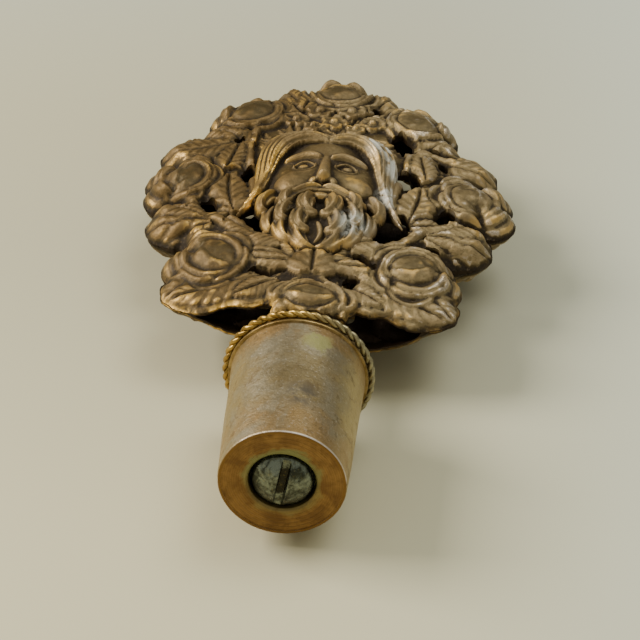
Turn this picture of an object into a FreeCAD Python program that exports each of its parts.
import FreeCAD, Part
import math
import os

# Ornamental finial: a two-sided openwork cartouche of roses and leaves with a bearded mask on
# each face, carried on a tapered plug that pushes into a tube, socket or neck.
#
# Millimetres. The finial lies on its back: +Z is out of the front face, +Y runs from the plug
# to the top of the cartouche, and the origin is on the plug's axis at its seat, where the
# shoulder meets the mouth of the socket.

V = FreeCAD.Vector
PLUS_X, PLUS_Y, PLUS_Z = V(1, 0, 0), V(0, 1, 0), V(0, 0, 1)

# ---- driving dimensions: plug ----
PLUG_LENGTH = 25.8            # end face to seat
PLUG_END_RADIUS = 9.5
PLUG_SEAT_RADIUS = 10.4
SLEEVE_WALL = 0.5

# ---- collar, from the seat upwards ----
SEAT_RING_RADIUS = 10.8
SEAT_RING_THICKNESS = 0.5
COLLAR_RADIUS = 10.4
COLLAR_THICKNESS = 1.5
ROPE_RADIUS = 11.8            # outside of the rope ring
ROPE_WIRE = 1.34              # diameter of the rope

# ---- screw and its joint ----
SCREW_RADIUS = 2.5
SCREW_LENGTH = 35.0
SCREW_PITCH = 0.8
HEAD_RADIUS = 4.72
HEAD_HEIGHT = 3.0
HEAD_RIM = 0.9                # height of the head's straight edge under its dome
SLOT_WIDTH = 1.3
SLOT_DEPTH = 1.6
WASHER_THICKNESS = 0.8
WASHER_RADIUS = 4.5
WASHER_SPLIT = 0.9
THREAD_CLEARANCE = 0.05       # radial, screw in the tapped neck
HOLE_CLEARANCE = 0.30         # radial, screw in the plug
COUNTERBORE_RADIUS = 5.0
COUNTERBORE_DEPTH = 2.6

# ---- neck inside the cartouche ----
NECK_RADIUS = 3.8
FLANGE_RADIUS = 7.0
FLANGE_THICKNESS = 1.2
TONGUE_WIDTH = 12.0
SOLDER_GAP = 0.03             # between the tongue and each shell
TONGUE_END = 37.0             # y where the tongue ends
TAPPED_END = 12.2             # y where the tapped hole ends
STUB_END = 12.9               # y where the round stub ends, below the shells

# ---- cartouche ----
CENTRE_Y = 49.5               # centre of the ring of roses
# roses: x, y from the centre, radius; those off the middle are mirrored in x
ROSES = [(0.0, 31.8, 7.5), (14.6, 21.9, 7.7), (24.0, -0.8, 7.7), (16.4, -23.9, 8.2),
         (0.0, -31.0, 8.4)]
ROSE_CREST = 5.5              # height of a rose above the parting plane
BODY_X = 26.0                 # semi-axes of the plate behind the roses
BODY_Y = 34.6
DOME_X = 35.2                 # semi-axes of the domed surface
DOME_Y = 47.5
DOME_HEIGHT = 4.7
SHELL_WALL = 0.9
MOUTH_HALF_WIDTH = 17.0       # opening beside the neck
MOUTH_Y = 13.5                # straight lower edge of both shells
# leaf lobes of the outline: x, y from the centre, radius; each also mirrored in x
LEAF_LOBES = [(23.3, 10.2, 5.9), (18.6, 14.8, 4.7), (23.6, -11.6, 6.0), (17.4, -28.8, 7.2),
              (7.6, 30.6, 4.0)]
# pierced holes: x, y from the centre, half width, half length, turn in degrees
PIERCINGS = [
    (-13.3, 0.2, 1.2, 2.3, 10), (-19.0, -9.3, 1.0, 2.2, 25), (-15.4, 12.4, 0.9, 1.6, -30),
    (11.9, 14.9, 1.5, 3.2, 20), (13.8, 1.6, 2.0, 2.6, 15), (20.4, -6.9, 1.2, 2.4, -30),
    (24.7, -7.9, 0.8, 1.7, 75), (19.5, 8.3, 0.8, 1.9, 20), (-8.1, -25.9, 0.9, 1.8, 65),
    (5.7, -27.8, 1.1, 1.9, -5), (7.1, -24.0, 0.9, 2.0, 50), (7.2, 26.3, 0.8, 1.5, -10),
    (-10.0, -13.0, 2.0, 4.0, 40), (11.4, -12.4, 2.6, 4.2, -25),
]

# ---- mask ----
MASK_CENTRE_Y = 45.2
MASK_HALF_WIDTH = 12.4
MASK_HALF_LENGTH = 17.4
MASK_CREST = 11.0
MASK_FOOT = 3.0               # height where the mask is widest
NOSE_Y = 49.0
BEARD_Y = 33.2
REST_HEIGHT = 11.8            # height of the mask's highest point and of the rope ring
RIVET_RADIUS = 0.9
RIVET_YS = (39.0, 55.0)
RIVET_TOP = 7.0
RIVET_HEAD_RADIUS = 1.8
RIVET_HEAD_THICKNESS = 0.8
HOLE_EASE = 0.02              # radial gap round a rivet

BLOCK = 400.0                 # side of a block larger than the finial


def cylinder_y(radius, y0, y1, x=0.0, z=0.0):
    """A cylinder along Y from y0 to y1."""
    return Part.makeCylinder(radius, y1 - y0, V(x, y0, z), PLUS_Y)


def cone_y(radius0, radius1, y0, y1):
    """A cone along Y with the given radii at y0 and y1."""
    return Part.makeCone(radius0, radius1, y1 - y0, V(0, y0, 0), PLUS_Y)


def column(x, y, radius, z0, z1):
    """A cylinder along Z."""
    return Part.makeCylinder(radius, z1 - z0, V(x, y, z0), PLUS_Z)


def ellipse_column(x, y, half_x, half_y, z0, z1, turn=0.0):
    """An elliptic cylinder along Z, turned in its plane by an angle in degrees."""
    major, minor = max(half_x, half_y), min(half_x, half_y)
    quarter = 0.0 if half_x >= half_y else 90.0
    edge = Part.Ellipse(V(0, 0, 0), major, minor).toShape()
    face = Part.Face(Part.Wire([edge]))
    face.rotate(V(0, 0, 0), PLUS_Z, quarter + turn)
    face.translate(V(x, y, z0))
    return face.extrude(V(0, 0, z1 - z0))


def ellipsoid(x, y, z, half_x, half_y, half_z):
    """A whole ellipsoid with its axes along X, Y and Z."""
    ball = Part.makeSphere(1.0)
    matrix = FreeCAD.Matrix()
    matrix.scale(half_x, half_y, half_z)
    ball = ball.transformGeometry(matrix)
    ball.translate(V(x, y, z))
    return ball


def cap_sphere(x, y, radius, crest, foot):
    """A sphere whose top is at crest and that is radius wide at height foot."""
    rise = crest - foot
    ball_radius = (radius * radius + rise * rise) / (2 * rise)
    return Part.makeSphere(ball_radius, V(x, y, crest - ball_radius))


def mirrored(shape):
    """The same shape for the back of the finial."""
    return shape.mirror(V(0, 0, 0), PLUS_Z)


def both_sides(discs):
    """Discs of x, y and radius with their mirror images, in the finial's own y."""
    places = []
    for x, y, radius in discs:
        for side in ((-1, 1) if x else (1,)):
            places.append((side * x, CENTRE_Y + y, radius))
    return places


def footprint(inset, z0, z1):
    """The cartouche's scalloped outline as a solid: plate, rose discs and leaf lobes."""
    discs = [column(x, y, radius - inset, z0, z1)
             for x, y, radius in both_sides(ROSES + LEAF_LOBES)]
    plate = ellipse_column(0, CENTRE_Y, BODY_X - inset, BODY_Y - inset, z0, z1)
    return plate.fuse(discs).removeSplitter()


def dome(drop):
    """The domed surface as a whole ellipsoid, lowered all round by drop."""
    return ellipsoid(0, CENTRE_Y, 0, DOME_X - drop, DOME_Y - drop, DOME_HEIGHT - drop)


def make_cavity():
    """The hollow between the two shells, both halves, with the mouth beside the neck."""
    inner = footprint(SHELL_WALL, -DOME_HEIGHT, DOME_HEIGHT)
    mouth_y = CENTRE_Y - BODY_Y
    mouth = Part.makeBox(2 * MOUTH_HALF_WIDTH, 14.0, 2 * DOME_HEIGHT,
                         V(-MOUTH_HALF_WIDTH, mouth_y - 6.0, -DOME_HEIGHT))
    return inner.fuse(mouth).common(dome(SHELL_WALL))


def make_front_shell(cavity):
    """One pierced, domed half of the cartouche with its eight roses."""
    outline = footprint(0.0, 0.0, ROSE_CREST + 1.0)
    roses = [cap_sphere(x, y, radius, ROSE_CREST, 1.2) for x, y, radius in both_sides(ROSES)]
    solid = dome(0.0).fuse(roses).common(outline).cut(cavity)
    holes = []
    for x, y, half_width, half_length, turn in PIERCINGS:
        hole = ellipse_column(x, CENTRE_Y + y, half_width, half_length, -1.0, 9.0, turn)
        holes.append(hole)
    for y in RIVET_YS:
        holes.append(column(0, y, RIVET_RADIUS + HOLE_EASE, -1.0, 9.0))
    below = Part.makeBox(BLOCK, BLOCK, BLOCK, V(-BLOCK / 2, MOUTH_Y - BLOCK, -BLOCK / 2))
    return solid.cut(holes + [below])


def make_front_mask():
    """The bearded mask: head, nose, beard and two side locks, seated on the dome."""
    head = ellipsoid(0, MASK_CENTRE_Y + 3.0, MASK_FOOT, MASK_HALF_WIDTH,
                     MASK_HALF_LENGTH - 4.0, MASK_CREST - MASK_FOOT)
    nose = ellipsoid(0, NOSE_Y, MASK_CREST - 2.0, 2.2, 5.0, REST_HEIGHT - MASK_CREST + 2.0)
    beard = ellipsoid(0, BEARD_Y + 3.0, MASK_FOOT + 1.0, 8.0, 8.6, 6.4)
    locks = [ellipsoid(side * 10.2, MASK_CENTRE_Y + 0.5, MASK_FOOT, 3.2, 14.0, 5.0)
             for side in (-1, 1)]
    block = Part.makeBox(BLOCK, BLOCK, BLOCK, V(-BLOCK / 2, -BLOCK / 2, 0))
    mask = head.fuse([nose, beard] + locks).common(block).cut(dome(0.0))
    holes = [column(0, y, RIVET_RADIUS + HOLE_EASE, 0.0, RIVET_TOP + HOLE_EASE)
             for y in RIVET_YS]
    return mask.cut(holes)


def make_front_rivets():
    """Two rivets that hold the mask to its shell, with their heads inside."""
    rivets = []
    inner_height = DOME_HEIGHT - SHELL_WALL
    for y in RIVET_YS:
        shank = column(0, y, RIVET_RADIUS, inner_height - 0.5, RIVET_TOP)
        head = column(0, y, RIVET_HEAD_RADIUS, inner_height - RIVET_HEAD_THICKNESS - 0.4,
                      inner_height - 0.4)
        rivets.append(shank.fuse(head).removeSplitter())
    return Part.makeCompound(rivets)


def make_neck_tang(cavity):
    """Flange, tapped stub and the flat tongue that fills the height between the shells."""
    collar_top = SEAT_RING_THICKNESS + COLLAR_THICKNESS
    flange = cylinder_y(FLANGE_RADIUS, collar_top, collar_top + FLANGE_THICKNESS)
    stub = cylinder_y(NECK_RADIUS, collar_top, STUB_END)
    tongue = Part.makeBox(TONGUE_WIDTH, TONGUE_END - 9.0, 2 * DOME_HEIGHT,
                          V(-TONGUE_WIDTH / 2, 9.0, -DOME_HEIGHT))
    tongue = tongue.common(cavity).common(dome(SHELL_WALL + SOLDER_GAP))
    throat = Part.makeBox(TONGUE_WIDTH, 7.0, 4.0, V(-TONGUE_WIDTH / 2, 10.0, -2.0))
    neck = stub.fuse([flange, tongue, throat])
    tapped = cylinder_y(SCREW_RADIUS + THREAD_CLEARANCE, collar_top - 1.0, TAPPED_END)
    return neck.cut(tapped).removeSplitter()


def make_plug_sleeve():
    """Thin tapered tube that covers the plug."""
    outer = cone_y(PLUG_END_RADIUS, PLUG_SEAT_RADIUS, -PLUG_LENGTH, 0.0)
    inner = cone_y(PLUG_END_RADIUS - SLEEVE_WALL, PLUG_SEAT_RADIUS - SLEEVE_WALL,
                   -PLUG_LENGTH, 0.0)
    return outer.cut(inner)


def make_plug_core():
    """Turned core with the counterbore and clearance hole of the screw."""
    core = cone_y(PLUG_END_RADIUS - SLEEVE_WALL, PLUG_SEAT_RADIUS - SLEEVE_WALL,
                  -PLUG_LENGTH, 0.0)
    hole = cylinder_y(SCREW_RADIUS + HOLE_CLEARANCE, -PLUG_LENGTH - 1.0, 1.0)
    counterbore = cylinder_y(COUNTERBORE_RADIUS, -PLUG_LENGTH - 1.0,
                             -PLUG_LENGTH + COUNTERBORE_DEPTH)
    return core.cut([hole, counterbore])


def make_disc(radius, y0, y1):
    """A flat disc of the collar with the screw's clearance hole."""
    hole = cylinder_y(SCREW_RADIUS + HOLE_CLEARANCE, y0 - 1.0, y1 + 1.0)
    return cylinder_y(radius, y0, y1).cut(hole)


def make_rope_ring():
    """The rope ring as a plain ring of the rope's thickness."""
    pitch_radius = ROPE_RADIUS - ROPE_WIRE / 2
    centre_y = SEAT_RING_THICKNESS + ROPE_WIRE / 2
    return Part.makeTorus(pitch_radius, ROPE_WIRE / 2, V(0, centre_y, 0), PLUS_Y)


def make_spring_washer():
    """Split washer under the screw's head."""
    y1 = -PLUG_LENGTH + COUNTERBORE_DEPTH
    y0 = y1 - WASHER_THICKNESS
    ring = cylinder_y(WASHER_RADIUS, y0, y1)
    hole = cylinder_y(SCREW_RADIUS + THREAD_CLEARANCE, y0 - 1.0, y1 + 1.0)
    split = Part.makeBox(WASHER_SPLIT, WASHER_THICKNESS + 2.0, WASHER_RADIUS,
                         V(-WASHER_SPLIT / 2, y0 - 1.0, 0))
    split.rotate(V(0, 0, 0), PLUS_Y, 35)
    return ring.cut([hole, split])


def make_fixing_screw():
    """Slotted round-head screw with its axis on Y and its head at the plug's end."""
    under_head = -PLUG_LENGTH + COUNTERBORE_DEPTH - WASHER_THICKNESS
    top = under_head - HEAD_HEIGHT
    rise = HEAD_HEIGHT - HEAD_RIM
    ball_radius = (HEAD_RADIUS ** 2 + rise ** 2) / (2 * rise)
    ball = Part.makeSphere(ball_radius, V(0, top + ball_radius, 0))
    head = cylinder_y(HEAD_RADIUS, top, under_head).common(ball)
    shank = cylinder_y(SCREW_RADIUS, under_head, under_head + SCREW_LENGTH)
    tip = cone_y(SCREW_RADIUS, SCREW_RADIUS - 0.8, 0, 0.8)
    tip.translate(V(0, under_head + SCREW_LENGTH - 0.8, 0))
    tip_block = cylinder_y(SCREW_RADIUS + 1.0, under_head + SCREW_LENGTH - 0.8,
                           under_head + SCREW_LENGTH + 1.0)
    shank = shank.cut(tip_block).fuse(tip)
    slot = Part.makeBox(SLOT_WIDTH, SLOT_DEPTH, 4 * HEAD_RADIUS,
                        V(-SLOT_WIDTH / 2, top, -2 * HEAD_RADIUS))
    return head.fuse(shank).cut(slot).removeSplitter()


def build():
    """Every node of the finial, by name."""
    cavity = make_cavity()
    seat_top = SEAT_RING_THICKNESS
    nodes = {
        "front_shell": make_front_shell(cavity),
        "front_mask": make_front_mask(),
        "front_mask_rivets": make_front_rivets(),
        "neck_tang": make_neck_tang(cavity),
        "collar_plate": make_disc(COLLAR_RADIUS, seat_top, seat_top + COLLAR_THICKNESS),
        "rope_ring": make_rope_ring(),
        "seat_ring": make_disc(SEAT_RING_RADIUS, 0.0, seat_top),
        "plug_sleeve": make_plug_sleeve(),
        "plug_core": make_plug_core(),
        "spring_washer": make_spring_washer(),
        "fixing_screw": make_fixing_screw(),
    }
    for name in ("front_shell", "front_mask", "front_mask_rivets"):
        nodes[name.replace("front", "back")] = mirrored(nodes[name])
    return nodes


os.makedirs("parts", exist_ok=True)
for name, shape in build().items():
    box = shape.BoundBox
    print("%-18s solids %d valid %s volume %8.1f  x %.1f..%.1f y %.1f..%.1f z %.1f..%.1f" % (
        name, len(shape.Solids), shape.isValid(), shape.Volume,
        box.XMin, box.XMax, box.YMin, box.YMax, box.ZMin, box.ZMax))
    shape.exportStep(os.path.join("parts", name + ".step"))
